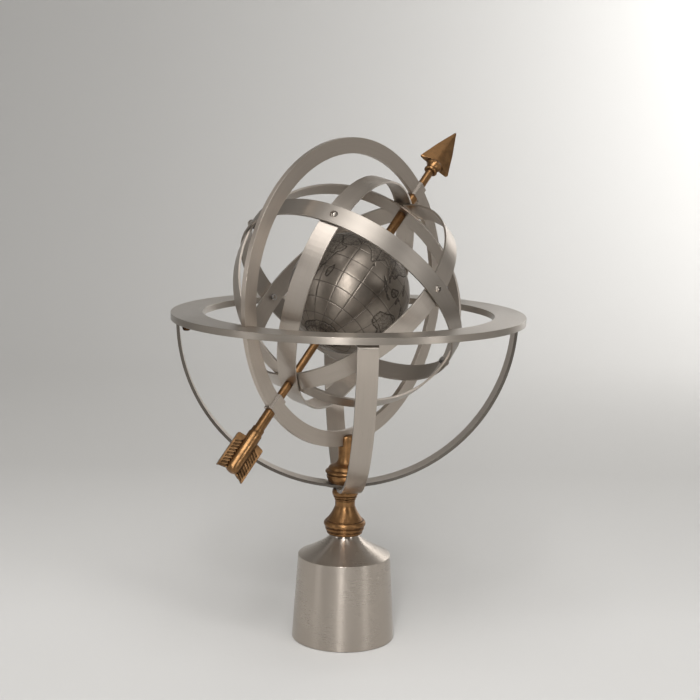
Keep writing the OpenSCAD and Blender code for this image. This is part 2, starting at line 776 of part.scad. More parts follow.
module fletching() {
    body_r = tail_body_d / 2;
    color(brass)
    on_polar_axis() mirror([0, 0, 1]) rotate([0, 0, tail_turn]) translate([0, 0, tail_s])
    difference() {
        union() {
            rotate_extrude() polygon(concat(
                [[0, 0], [tail_collar_d / 2 - 0.6, 0], [tail_collar_d / 2, 0.6],
                    [tail_collar_d / 2, tail_collar_l]],
                curve([tail_collar_d / 2 + 0.1, tail_collar_l], [body_r, tail_collar_l],
                    [body_r, tail_collar_l + 2], 4),
                curve([body_r, tail_body_l - 4], [body_r, tail_body_l],
                    [0, tail_body_l], 8)
            ));
            for (side = [0, 180]) rotate([0, 0, side]) difference() {
                translate([0, vane_t / 2, vane_start]) rotate([90, 0, 0])
                    linear_extrude(vane_t) mirror([0, 1]) vane_outline();
                for (face = [0, 1]) mirror([0, face, 0])
                    translate([0, vane_t / 2 + eps, vane_start]) rotate([90, 0, 0])
                        linear_extrude(barb_depth + eps) mirror([0, 1]) vane_grooves();
            }
        }
        translate([0, 0, -eps]) cylinder(r = rod_hole_r, h = rod_grip + hole_gap + eps);
    }
}

// Cage

// Radius of a colure's outline, which is flush with the equator band and steps in or out
// at the poles, so that the three bands cross there one inside the other
function colure_rim(a, pole_step, inset) = let (r = colure_r + pole_step * pow(cos(a), 2) - inset)
    [r * sin(a), r * cos(a)];

// One closed band in the plane at an angle about the polar axis
module colure_band(index, level) {
    pole_step = level * pole_pitch;
    steps = 144;
    turn = cage_turn + 60 * index;
    color(nickel)
    on_polar_axis() rotate([0, 0, turn]) difference() {
        rotate([90, 0, 0]) translate([0, 0, -band_w / 2]) linear_extrude(band_w) difference() {
            polygon([for (i = [0 : steps - 1]) colure_rim(360 * i / steps, pole_step, 0)]);
            polygon([for (i = [0 : steps - 1]) colure_rim(360 * i / steps, pole_step, band_t)]);
        }
        cylinder(r = rod_hole_r, h = 3 * colure_r, center = true);
        rotate([0, 90, 0])
            cylinder(r = cage_screw_d / 2 + hole_gap, h = 3 * colure_r, center = true);
    }
}

module colure_band_outer() {
    colure_band(0, 1);
}

module colure_band_middle() {
    colure_band(1, 0);
}

module colure_band_inner() {
    colure_band(2, -1);
}

// Puts one copy of the children at each crossing, with +Z pointing outwards
module at_crossings(r) {
    on_polar_axis() for (i = [0 : 5])
        rotate([0, 0, cage_turn + 60 * i]) rotate([0, 90, 0]) translate([0, 0, r]) children();
}

module equator_band() {
    color(nickel)
    difference() {
        on_polar_axis() translate([0, 0, -band_w / 2]) difference() {
            cylinder(r = equator_r, h = band_w, $fn = 240);
            translate([0, 0, -eps])
                cylinder(r = equator_r - band_t, h = band_w + 2 * eps, $fn = 240);
        }
        at_crossings(equator_r - 2 * band_t)
            cylinder(r = cage_screw_d / 2 + hole_gap, h = 4 * band_t);
    }
}

module cage_screws() {
    shank_l = equator_r - colure_r + band_t + cage_nut_h + hole_gap;
    dome_r = (cage_head_d * cage_head_d / 4 + cage_head_h * cage_head_h) / (2 * cage_head_h);
    color(steel)
    at_crossings(equator_r) {
        translate([0, 0, -shank_l]) cylinder(d = cage_screw_d, h = shank_l + eps);
        intersection() {
            cylinder(d = cage_head_d + 1, h = cage_head_h + 1);
            translate([0, 0, cage_head_h - dome_r]) sphere(r = dome_r);
        }
    }
}

module cage_nuts() {
    color(steel) at_crossings(colure_r - band_t - hole_gap - cage_nut_h)
        hex_nut(cage_nut_af, cage_nut_h, cage_screw_d / 2 + run_gap);
}

// Globe

module half_shell(side) {
    color(nickel)
    on_polar_axis() mirror([0, 0, side]) difference() {
        sphere(r = globe_r);
        sphere(r = globe_r - globe_wall);
        translate([0, 0, -globe_r]) cube([3 * globe_r, 3 * globe_r, 2 * globe_r], center = true);
        cylinder(r = rod_hole_r, h = 2 * globe_r);
    }
}

module globe_north_half() {
    half_shell(0);
}

module globe_south_half() {
    half_shell(1);
}

module globe_tube() {
    inside_r = globe_r - globe_wall;
    half_l = sqrt(inside_r * inside_r - globe_tube_d * globe_tube_d / 4) - hole_gap;
    color(brass) on_polar_axis() translate([0, 0, -half_l])
        tube(globe_tube_d / 2, rod_hole_r, 2 * half_l);
}

base_shell();
base_weight();
base_pad();
base_stud();
base_washer();
base_nut();
lower_baluster();
lower_cradle_strip();
upper_cradle_strip();
fork_post();
latitude_screw();
horizon_ring();
ring_studs();
cap_nuts();
meridian_ring();
polar_rod();
arrowhead();
fletching();
north_sleeve();
north_inner_sleeve();
south_inner_sleeve();
south_sleeve();
tail_sleeve();
equator_band();
colure_band_outer();
colure_band_middle();
colure_band_inner();
cage_screws();
cage_nuts();
globe_north_half();
globe_south_half();
globe_tube();
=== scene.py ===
"""Looks of a table armillary sphere: brushed nickel rings and bands, antique brass
post, arrow and sleeves, and an engraved globe, on a pale studio floor."""
import math

import bmesh
import bpy
import numpy as np
from mathutils import Matrix, Vector


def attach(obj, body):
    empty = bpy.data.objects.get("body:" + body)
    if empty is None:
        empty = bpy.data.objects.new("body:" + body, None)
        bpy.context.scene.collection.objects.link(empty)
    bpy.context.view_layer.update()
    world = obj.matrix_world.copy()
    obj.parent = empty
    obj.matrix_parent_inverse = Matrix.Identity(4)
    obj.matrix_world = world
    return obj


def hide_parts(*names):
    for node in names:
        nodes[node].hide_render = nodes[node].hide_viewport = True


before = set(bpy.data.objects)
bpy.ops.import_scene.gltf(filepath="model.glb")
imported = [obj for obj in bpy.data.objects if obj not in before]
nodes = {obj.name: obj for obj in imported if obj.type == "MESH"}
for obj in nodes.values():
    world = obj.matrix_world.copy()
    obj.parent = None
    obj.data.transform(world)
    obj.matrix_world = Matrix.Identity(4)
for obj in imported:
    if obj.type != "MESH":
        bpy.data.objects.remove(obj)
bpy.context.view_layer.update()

# Lengths are in metres. The rod lies along POLE, and POLE_SIDE and UP_SIDE are square to it. The
# first cage screw stands CAGE_TURN degrees from POLE_SIDE, and each next one CAGE_STEP further.
MM = 0.001
ORIGIN = Vector((0, 0, 0))
CENTRE = Vector((0, 0, 293.1 * MM))
CRADLE_CENTRE = Vector((0, 0, 270 * MM))
LATITUDE = math.radians(42)
POLE = Vector((math.cos(LATITUDE), 0, math.sin(LATITUDE)))
POLE_SIDE = Vector((math.sin(LATITUDE), 0, -math.cos(LATITUDE)))
UP = Vector((0, 0, 1))
UP_SIDE = Vector((0, 1, 0))
CAGE_TURN = 20
CAGE_STEP = 60


def add_object(name, data):
    """A new object in the scene."""
    made = bpy.data.objects.new(name, data)
    bpy.context.scene.collection.objects.link(made)
    return made


def axes_at(place, x_axis, y_axis, z_axis):
    """The matrix of a frame that has these axes and stands at a place."""
    rows = [(x_axis[i], y_axis[i], z_axis[i], place[i]) for i in range(3)]
    return Matrix((*rows, (0, 0, 0, 1)))


# Camera

CAMERA_PLACE = Vector((-0.9188, -0.7434, 0.4297))
CAMERA_TURN = math.radians(-51.105)
CAMERA_PITCH = math.radians(8.835)
CAMERA_ROLL = math.radians(1.106)
FOCAL_PX = 1444.2
PICTURE_PX = 700
SENSOR_MM = 36


def make_camera():
    """The camera of the photograph, from a fit to points measured on it. Gives back the level
    direction that it looks in."""
    heading = math.pi / 2 + CAMERA_TURN
    ahead = Vector((math.cos(heading), math.sin(heading), 0))
    forward = ahead * math.cos(CAMERA_PITCH) - UP * math.sin(CAMERA_PITCH)
    level = forward.cross(UP).normalized()
    above = level.cross(forward)
    right = level * math.cos(CAMERA_ROLL) + above * math.sin(CAMERA_ROLL)
    up = above * math.cos(CAMERA_ROLL) - level * math.sin(CAMERA_ROLL)
    data = bpy.data.cameras.new("camera")
    data.sensor_width = SENSOR_MM
    data.lens = FOCAL_PX / PICTURE_PX * SENSOR_MM
    camera = add_object("camera", data)
    camera.matrix_world = axes_at(CAMERA_PLACE, right, up, -forward)
    bpy.context.scene.camera = camera
    return ahead


# Shader helper

MIX_COLOUR_INPUTS = (6, 7)
MIX_COLOUR_OUTPUT = 2


class Shader:
    """One material. Each method adds a node and gives back its output socket."""

    def __init__(self, name):
        self.material = bpy.data.materials.new(name)
        self.material.use_nodes = True
        self.tree = self.material.node_tree
        self.tree.nodes.clear()

    def node(self, kind, **settings):
        made = self.tree.nodes.new("ShaderNode" + kind)
        for key, value in settings.items():
            setattr(made, key, value)
        return made

    def plug(self, socket, value):
        """The input socket takes the output of another node, or a plain value."""
        if isinstance(value, bpy.types.NodeSocket):
            self.tree.links.new(value, socket)
        else:
            socket.default_value = value

    def feed(self, made, **inputs):
        """Inputs by name, with an underscore for a space."""
        for key, value in inputs.items():
            self.plug(made.inputs[key.replace("_", " ")], value)

    def position(self):
        return self.node("TexCoord").outputs["Object"]

    def math(self, operation, a, b=0.0, clamp=False):
        made = self.node("Math", operation=operation, use_clamp=clamp)
        self.plug(made.inputs[0], a)
        self.plug(made.inputs[1], b)
        return made.outputs[0]

    def mean(self, first, second, first_share=0.6):
        """Mean of two values, the first counted with its share and the second with the rest."""
        return self.math("ADD", self.math("MULTIPLY", first, first_share),
                         self.math("MULTIPLY", second, 1 - first_share))

    def vector(self, operation, a, b=(0, 0, 0), scale=None):
        made = self.node("VectorMath", operation=operation)
        self.plug(made.inputs[0], a)
        self.plug(made.inputs[1], b)
        if scale is not None:
            self.plug(made.inputs["Scale"], scale)
        given = "Value" if operation in ("DOT_PRODUCT", "LENGTH") else "Vector"
        return made.outputs[given]

    def noise(self, vector, scale, detail=2.0, roughness=0.5, w=None):
        made = self.node("TexNoise", noise_dimensions="4D" if w is not None else "3D")
        self.feed(made, Vector=vector, Scale=scale, Detail=detail, Roughness=roughness)
        if w is not None:
            self.feed(made, W=w)
        return made.outputs[0]

    def spread(self, value, low, high, new_low=0.0, new_high=1.0):
        """value, moved from the range low to high to the new range and kept inside it."""
        made = self.node("MapRange")
        self.feed(made, Value=value, From_Min=low, From_Max=high, To_Min=new_low, To_Max=new_high)
        return made.outputs[0]

    def blend(self, share, first, second):
        """Colour from first to second as share goes from 0 to 1."""
        made = self.node("Mix", data_type="RGBA")
        self.plug(made.inputs[0], share)
        for index, colour in zip(MIX_COLOUR_INPUTS, (first, second)):
            self.plug(made.inputs[index], (*colour, 1) if isinstance(colour, tuple) else colour)
        return made.outputs[MIX_COLOUR_OUTPUT]

    def bump(self, height, strength, distance, normal=None):
        made = self.node("Bump")
        self.feed(made, Height=height, Strength=strength, Distance=distance)
        if normal is not None:
            self.feed(made, Normal=normal)
        return made.outputs[0]

    def rounded(self, radius):
        """Normals softened over edges, as a deburred edge catches light."""
        made = self.node("Bevel", samples=4)
        self.feed(made, Radius=radius)
        return made.outputs[0]

    def finish(self, **inputs):
        """The material, with these inputs of its surface."""
        surface = self.node("BsdfPrincipled")
        self.feed(surface, **inputs)
        self.tree.links.new(surface.outputs[0], self.node("OutputMaterial").inputs["Surface"])
        return self.material


# Metals

NICKEL = (0.465, 0.414, 0.364)
# Lit and shaded copies of the one nickel. The meridian ring is painted lighter, as painted light.
# The horizon ring and the equator band are painted darker, as painted shade over their highlights.
MERIDIAN_NICKEL_PAINTED_LIGHT = (0.515, 0.453, 0.394)
HORIZON_NICKEL_PAINTED_SHADE = (0.41, 0.367, 0.322)
EQUATOR_NICKEL_PAINTED_SHADE = (0.365, 0.328, 0.29)
# Near-black nickel, blended in as painted shade.
NICKEL_PAINTED_SHADE = (0.03, 0.027, 0.022)
BRASS = (0.29, 0.158, 0.068)
DARK_BRASS = (0.085, 0.043, 0.02)
CAP_NUT_PATINA = (0.05, 0.03, 0.02)
# Brass painted darker, as painted shade on the fletching's vanes.
FLETCHING_BRASS_PAINTED_SHADE = (0.14, 0.077, 0.035)
FLETCHING_PATINA = (0.03, 0.016, 0.008)
STEEL = (0.45, 0.43, 0.41)
DARK_FELT = (0.02, 0.035, 0.028)
PALE_FELT = (0.07, 0.11, 0.085)
DARK_IRON = (0.035, 0.035, 0.04)
PALE_IRON = (0.08, 0.08, 0.085)
LINES_PER_M = 3200.0
STREAKS = 4.0
WIDE_BANDS_PER_M = 220.0
WIDE_BAND_STREAKS = 0.01
HAZE_PER_M = 22.0
PATCHES_PER_M = 160.0
FIBRES_PER_M = 2600.0
GRIT_PER_M = 900.0
RADIUS_WEIGHT = 2.3
ACROSS_GRAIN = 0.25


def ring_coordinates(shader, axis, centre):
    """(unit radial direction, a length that changes across the grain, tangent along the grain)."""
    place = shader.vector("SUBTRACT", shader.position(), tuple(centre))
    height = shader.vector("DOT_PRODUCT", place, tuple(axis))
    along = shader.vector("SCALE", tuple(axis), scale=height)
    radial = shader.vector("SUBTRACT", place, along)
    radius = shader.vector("LENGTH", radial)
    across = shader.math("ADD", height, shader.math("MULTIPLY", radius, RADIUS_WEIGHT))
    tangent = shader.vector("NORMALIZE", shader.vector("CROSS_PRODUCT", tuple(axis), place))
    turn = shader.node("VectorTransform", vector_type="VECTOR",
                       convert_from="OBJECT", convert_to="WORLD")
    shader.feed(turn, Vector=tangent)
    return shader.vector("NORMALIZE", radial), across, turn.outputs[0]


def fine_lines(shader, direction, across, detail=3.0, roughness=0.7):
    """Noise that is drawn out along the grain."""
    streaky = shader.vector("SCALE", direction, scale=STREAKS / LINES_PER_M)
    return shader.noise(streaky, LINES_PER_M, detail, roughness, w=across)


def brushed(name, colour, axis, centre, roughness=0.32, grain=0.04, anisotropy=0.65,
            edge=0.35 * MM, contrast=0.07, painted_edge_shade=0.0, painted_rim_shade=0.0):
    """Metal with fine lines that run round an axis, and a soft handling haze.
    Its faces square to the axis are painted darker by the share painted_edge_shade, and its
    faces round the axis by the share painted_rim_shade, as painted shade. A face square to the
    lines, as on the side of a boss, is rougher, less anisotropic satin and painted darker, as
    painted shade over its highlight."""
    shader = Shader(name)
    direction, across, tangent = ring_coordinates(shader, axis, centre)
    lines = fine_lines(shader, direction, across)
    wide_direction = shader.vector("SCALE", direction, scale=WIDE_BAND_STREAKS)
    wide = shader.noise(wide_direction, WIDE_BANDS_PER_M, w=across)
    haze = shader.noise(shader.position(), HAZE_PER_M, detail=3.0, roughness=0.6)
    pale = tuple(c * (1 + contrast / 2) for c in colour)
    dull = tuple(c * (1 - contrast) for c in colour)
    tone = shader.spread(shader.mean(lines, wide), 0.34, 0.66)

    normal = shader.node("NewGeometry").outputs["True Normal"]
    facing = shader.math("ABSOLUTE", shader.vector("DOT_PRODUCT", normal, tuple(axis)))
    across_lines = shader.math("ABSOLUTE", shader.vector("DOT_PRODUCT", normal, tangent))
    # Painted shade: edge faces, rim faces and the sides of bosses are blended towards near-black
    # nickel. This stands in for dark reflections and dims their highlights. The boss sides are also
    # made rougher.
    dulled_and_painted_shade = shader.spread(across_lines, 0.3, 0.6)
    cut = shader.math("ADD", shader.spread(facing, 0.6, 0.8, painted_rim_shade, painted_edge_shade),
                      shader.math("MULTIPLY", dulled_and_painted_shade, 0.6), clamp=True)
    base = shader.blend(cut, shader.blend(tone, dull, pale), NICKEL_PAINTED_SHADE)

    half = contrast / 2
    rough = shader.math("ADD", shader.spread(lines, 0.3, 0.7, roughness - half, roughness + half),
                        shader.spread(haze, 0.35, 0.65, -0.3 * contrast, 0.45 * contrast))
    rough = shader.math("ADD", rough, shader.math("MULTIPLY", dulled_and_painted_shade, 0.2))
    return shader.finish(
        Base_Color=base, Metallic=1.0, Roughness=rough,
        Anisotropic=shader.spread(dulled_and_painted_shade, 0.0, 1.0, anisotropy, 0.0),
        Anisotropic_Rotation=ACROSS_GRAIN, Tangent=tangent,
        Normal=shader.bump(lines, grain, 0.04 * MM, shader.rounded(edge)))


def antique(name, colour, dark, axis, centre, roughness=0.34, patina=0.85,
            hollow_size=6 * MM, core_r=0.0):
    """Turned brass with darker patina in its hollows, up to about hollow_size wide, and in soft
    patches. Within the distance core_r from the axis it stays plain brass, and beyond it takes the
    colour given, which for the fletching is painted shade on its vanes."""
    shader = Shader(name)
    direction, across, tangent = ring_coordinates(shader, axis, centre)
    lines = fine_lines(shader, direction, across, detail=2.0, roughness=0.6)
    patches = shader.noise(shader.position(), PATCHES_PER_M, detail=4.0, roughness=0.65)
    hollow = shader.node("AmbientOcclusion", samples=6)
    shader.feed(hollow, Distance=hollow_size)
    covered = shader.spread(hollow.outputs["AO"], 0.35, 0.98, patina, 0.0)
    speckle = shader.spread(patches, 0.40, 0.70, 0.0, 0.5)
    share = shader.math("ADD", covered, speckle, clamp=True)
    # Painted shade: beyond core_r the colour is the darker one given, with plain brass within it.
    if core_r:
        place = shader.vector("SUBTRACT", shader.position(), tuple(centre))
        from_axis = shader.vector("LENGTH", shader.vector("CROSS_PRODUCT", tuple(axis), place))
        outside_core = shader.spread(from_axis, core_r, core_r + 0.3 * MM)
        colour = shader.blend(outside_core, BRASS, colour)
    return shader.finish(
        Base_Color=shader.blend(share, colour, dark), Metallic=1.0,
        Roughness=shader.spread(share, 0.0, 1.0, roughness, roughness + 0.22),
        Anisotropic=0.35, Anisotropic_Rotation=ACROSS_GRAIN, Tangent=tangent,
        Normal=shader.bump(shader.mean(lines, patches), 0.15, 0.06 * MM,
                           shader.rounded(0.3 * MM)))


def felt():
    """Short dense fibres."""
    shader = Shader("felt")
    fibres = shader.noise(shader.position(), FIBRES_PER_M, detail=4.0, roughness=0.7)
    return shader.finish(Base_Color=shader.blend(fibres, DARK_FELT, PALE_FELT), Roughness=0.95,
                         Normal=shader.bump(fibres, 0.8, 0.3 * MM))


def cast_iron():
    """Painted rough casting."""
    shader = Shader("iron")
    grit = shader.noise(shader.position(), GRIT_PER_M, detail=5.0, roughness=0.7)
    return shader.finish(Base_Color=shader.blend(grit, DARK_IRON, PALE_IRON), Metallic=0.4,
                         Roughness=0.7, Normal=shader.bump(grit, 0.5, 0.3 * MM))


# Materials of the CAD nodes that stay as they are

CRADLE_TURNS = {"lower_cradle_strip": 45, "upper_cradle_strip": 135}


def dress(material, *names):
    """The CAD nodes of these names show this material all over."""
    for name in names:
        data = nodes[name].data
        data.materials.clear()
        data.materials.append(material)


def dress_sheet():
    """Brushed sheet metal. The lines of each piece run round its own axis."""
    dress(brushed("base nickel", NICKEL, UP, ORIGIN, roughness=0.28, grain=0.005,
                  anisotropy=0.75, contrast=0.02), "base_shell")
    dress(brushed("horizon nickel", HORIZON_NICKEL_PAINTED_SHADE, UP, ORIGIN, painted_rim_shade=0.05), "horizon_ring")
    dress(brushed("meridian nickel", MERIDIAN_NICKEL_PAINTED_LIGHT, UP_SIDE, CENTRE), "meridian_ring")
    dress(brushed("equator nickel", EQUATOR_NICKEL_PAINTED_SHADE, POLE, CENTRE, roughness=0.45,
                  anisotropy=0.5), "equator_band")
    for index, place in enumerate(("outer", "middle", "inner")):
        turn = math.radians(CAGE_TURN + CAGE_STEP * index)
        normal = UP_SIDE * math.cos(turn) - POLE_SIDE * math.sin(turn)
        dress(brushed("colure nickel " + place, NICKEL, normal, CENTRE), "colure_band_" + place)
    for name, degrees in CRADLE_TURNS.items():
        turn = math.radians(degrees)
        normal = Vector((-math.sin(turn), math.cos(turn), 0))
        dress(brushed(name + " nickel", NICKEL, normal, CRADLE_CENTRE, painted_edge_shade=0.75), name)


def dress_turned_brass():
    """The post, and all that is turned on the rod's axis."""
    dress(antique("post brass", BRASS, DARK_BRASS, UP, ORIGIN), "lower_baluster", "fork_post")
    dress(antique("arrow brass", BRASS, DARK_BRASS, POLE, CENTRE, roughness=0.3),
          "arrowhead", "north_sleeve", "north_inner_sleeve", "south_inner_sleeve",
          "south_sleeve", "tail_sleeve", "globe_tube")
    dress(antique("fletching brass", FLETCHING_BRASS_PAINTED_SHADE, FLETCHING_PATINA, POLE, CENTRE,
                  roughness=0.26, patina=1.0, hollow_size=1.5 * MM, core_r=5.8 * MM),
          "fletching")
    dress(antique("cap nut brass", DARK_BRASS, CAP_NUT_PATINA, UP, ORIGIN), "cap_nuts")


def dress_steel_felt_and_iron():
    """The rod, the plain fasteners, the pad and the weight."""
    dress(brushed("steel", STEEL, UP, ORIGIN, roughness=0.35, edge=0.1 * MM),
          "base_stud", "base_washer", "base_nut", "latitude_screw", "ring_studs", "cage_nuts")
    dress(brushed("rod steel", STEEL, POLE, CENTRE, roughness=0.35), "polar_rod")
    dress(felt(), "base_pad")
    dress(cast_iron(), "base_weight")


# Globe

GLOBE_R = 50 * MM
GLOBE_INSET = 0.02 * MM
GLOBE_HOLE_R = 2.8 * MM
GLOBE_WALL = 1.2 * MM
GROOVE_DEPTH = 0.42 * MM
GROOVE_FALL = 1.4
SHORE_WIDTH = 0.95 * MM
LINE_WIDTH = 0.6 * MM
LINE_DEPTH_SHARE = 0.75
MERIDIAN_STEP = 20
MERIDIAN_END = 82
PARALLEL_STEP = 15
FRONT_LONGITUDE = 76
CORNER_CUT = 0.22
SHORE_SEED = 7
NEAR_COSINE = 0.98
# Stands for no line nearby, in radians or in degrees.
FAR = 9.0
PEWTER = (0.262, 0.226, 0.19)
GROOVE_PATINA = (0.07, 0.06, 0.05)
TARNISH_PER_M = 90.0
STIPPLE_PER_M = 620.0
COASTS = {
    "north america": (
        (-168, 66), (-156, 71), (-128, 70), (-115, 68), (-95, 68), (-85, 68), (-82, 62), (-94, 59),
        (-85, 55), (-80, 51), (-78, 58), (-72, 62), (-65, 59), (-56, 53), (-66, 50), (-60, 46),
        (-70, 43), (-74, 40), (-76, 35), (-81, 31), (-80, 26), (-83, 29), (-90, 30), (-97, 27),
        (-97, 21), (-94, 18), (-88, 21), (-88, 16), (-83, 15), (-83, 10), (-78, 9), (-85, 10),
        (-92, 14), (-105, 20), (-112, 29), (-110, 23), (-117, 33), (-124, 40), (-124, 48),
        (-135, 58), (-150, 60), (-160, 56), (-165, 60), (-168, 66)),
    "south america": (
        (-78, 9), (-72, 12), (-62, 10), (-50, 1), (-44, -3), (-35, -6), (-39, -15), (-41, -22),
        (-48, -27), (-58, -36), (-65, -42), (-68, -52), (-74, -52), (-73, -40), (-71, -30),
        (-70, -18), (-76, -14), (-81, -5), (-79, 2), (-78, 9)),
    "greenland": (
        (-45, 60), (-53, 66), (-58, 75), (-70, 78), (-60, 82), (-30, 83), (-20, 75), (-25, 70),
        (-40, 65), (-45, 60)),
    "africa": (
        (-6, 36), (10, 37), (20, 31), (32, 31), (37, 22), (43, 12), (51, 12), (42, -2), (40, -11),
        (35, -20), (32, -28), (26, -34), (18, -34), (12, -18), (13, -8), (9, 4), (-5, 5), (-13, 9),
        (-17, 15), (-16, 22), (-10, 30), (-6, 36)),
    "eurasia": (
        (-6, 36), (-9, 38), (-9, 43), (-1, 44), (-4, 48), (3, 51), (9, 54), (14, 54), (21, 55),
        (24, 59), (30, 60), (22, 60), (22, 64), (24, 66), (17, 62), (17, 57), (12, 56), (10, 59),
        (5, 59), (6, 62), (14, 67), (25, 71), (41, 67), (35, 64), (44, 66), (60, 69), (70, 73),
        (80, 73), (104, 78), (113, 74), (130, 71), (160, 70), (180, 69), (178, 63), (163, 60),
        (156, 51), (155, 58), (137, 54), (140, 48), (130, 42), (127, 39), (126, 35), (122, 40),
        (118, 38), (122, 31), (115, 23), (108, 21), (106, 10), (100, 13), (104, 2), (98, 10),
        (94, 18), (88, 22), (80, 13), (77, 8), (73, 18), (67, 25), (57, 26), (50, 30), (56, 26),
        (60, 22), (52, 16), (44, 13), (38, 22), (34, 28), (35, 36), (27, 37), (24, 41), (22, 37),
        (14, 45), (18, 40), (11, 44), (3, 43), (0, 39), (-6, 36)),
    "australia": (
        (114, -22), (122, -18), (130, -12), (137, -12), (141, -17), (142, -11), (147, -19),
        (153, -27), (150, -37), (140, -38), (132, -32), (115, -35), (114, -22)),
    "antarctica": (
        (-180, -78), (-150, -77), (-120, -74), (-90, -73), (-65, -66), (-60, -75), (-35, -78),
        (-10, -71), (30, -69), (60, -67), (90, -66), (120, -67), (150, -69), (170, -74), (180, -78)),
    "madagascar": ((49, -12), (50, -16), (47, -25), (44, -24), (44, -17), (49, -12)),
    "sri lanka": ((80, 9), (82, 7), (80, 6), (80, 9)),
    "sumatra": ((95, 5), (104, -2), (106, -6), (102, -5), (95, 5)),
    "java": ((106, -6), (114, -8), (110, -9), (106, -6)),
    "borneo": ((109, 2), (117, 7), (118, 1), (115, -4), (110, -3), (109, 2)),
    "celebes": ((120, 1), (125, 1), (121, -1), (123, -5), (120, -5), (120, 1)),
    "new guinea": ((131, -1), (141, -3), (150, -10), (141, -9), (134, -4), (131, -1)),
    "philippines": ((121, 18), (124, 13), (126, 7), (122, 10), (121, 18)),
    "japan": ((130, 32), (136, 34), (141, 36), (142, 43), (139, 38), (130, 32)),
    "great britain": ((-5, 50), (1, 51), (-2, 56), (-5, 58), (-3, 54), (-5, 50)),
    "new zealand": ((173, -35), (178, -38), (174, -42), (167, -46), (173, -40), (173, -35)),
}


def smooth_loop(points, rounds=2):
    """The points with their corners cut, the two ends kept."""
    points = np.array(points, float)
    for _ in range(rounds):
        first, second = points[:-1], points[1:]
        near_first = first * (1 - CORNER_CUT) + second * CORNER_CUT
        near_second = first * CORNER_CUT + second * (1 - CORNER_CUT)
        cut = np.stack([near_first, near_second], axis=1)
        points = np.vstack([points[:1], cut.reshape(-1, 2), points[-1:]])
    return points


def ragged(points, random, size=0.9, full_length=3):
    """Each stretch broken once more at a point pushed a little aside, as a shore is. A stretch
    shorter than full_length degrees is pushed less."""
    middle = (points[:-1] + points[1:]) / 2
    stretch = points[1:] - points[:-1]
    aside = np.stack([-stretch[:, 1], stretch[:, 0]], axis=1)
    length = np.linalg.norm(stretch, axis=1, keepdims=True) + 1e-9
    share = np.minimum(1.0, length / full_length)
    push = random.uniform(-size, size, (len(middle), 1)) * share
    broken = np.empty((len(points) + len(middle), 2))
    broken[0::2] = points
    broken[1::2] = middle + aside / length * push
    return broken


def on_sphere(longitude, latitude):
    """Unit vectors in the globe's own frame, its north along +Z."""
    lon, lat = np.radians(longitude), np.radians(latitude)
    return np.stack([np.cos(lat) * np.cos(lon), np.cos(lat) * np.sin(lon), np.sin(lat)], axis=-1)


def distance_to_coasts(points):
    """Angle from each unit vector to the nearest shore, in radians, or FAR away from them all."""
    random = np.random.default_rng(SHORE_SEED)
    starts, ends = [], []
    for coast in COASTS.values():
        line = ragged(smooth_loop(coast), random)
        spots = on_sphere(line[:, 0], line[:, 1])
        starts.append(spots[:-1])
        ends.append(spots[1:])
    starts, ends = np.vstack(starts), np.vstack(ends)
    stretches = ends - starts
    squares = np.maximum((stretches ** 2).sum(1), 1e-12)
    nearest = np.full(len(points), FAR)
    for start, stretch, square in zip(starts, stretches, squares):
        close = np.nonzero(points @ start > NEAR_COSINE)[0]
        if len(close) == 0:
            continue
        away = points[close] - start
        share = np.clip(away @ stretch / square, 0, 1)
        gap = np.linalg.norm(away - share[:, None] * stretch, axis=1)
        nearest[close] = np.minimum(nearest[close], gap)
    return nearest


def on_land(longitude, latitude):
    """1 inside a shore and 0 at sea, from the crossings of a line drawn to the east."""
    longitude = (longitude + 180) % 360 - 180
    inside = np.zeros(len(longitude), bool)
    for coast in COASTS.values():
        line = smooth_loop(coast)
        for (x0, y0), (x1, y1) in zip(line, np.roll(line, -1, axis=0)):
            if y0 == y1:
                continue
            beside = (latitude > min(y0, y1)) & (latitude <= max(y0, y1))
            inside ^= beside & (longitude < x0 + (latitude - y0) * (x1 - x0) / (y1 - y0))
    return inside.astype(float)


def away_from_line(degrees, step):
    """Angle to the nearest line of the graticule."""
    return np.abs((degrees + step / 2) % step - step / 2)


def groove(distance, width):
    """1 in the middle of a line of that width, falling towards 0 at its edges."""
    return np.exp(-((distance / (width / 2)) ** 2) * GROOVE_FALL)


def groove_share(units, lon, lat):
    """How deep each spot of the globe lies in a groove, from 0 to 1. The meridians end at
    MERIDIAN_END."""
    coast = groove(distance_to_coasts(units) * GLOBE_R, SHORE_WIDTH)
    to_meridian = away_from_line(lon, MERIDIAN_STEP) * np.cos(np.radians(lat))
    to_meridian = np.where(np.abs(lat) < MERIDIAN_END, to_meridian, FAR)
    to_parallel = away_from_line(lat, PARALLEL_STEP)
    to_line = np.radians(np.minimum(to_meridian, to_parallel)) * GLOBE_R
    return np.maximum(coast, groove(to_line, LINE_WIDTH) * LINE_DEPTH_SHARE)


def with_lips(spots, rows, columns):
    """The rows of the globe's outside, and a lip into each of its two holes."""
    outside = spots.reshape(rows, columns, 3)
    wall = np.array([0, 0, GLOBE_WALL])
    lips = [(outside[0] + wall)[None], outside, (outside[-1] - wall)[None]]
    return np.concatenate(lips).reshape(-1, 3)


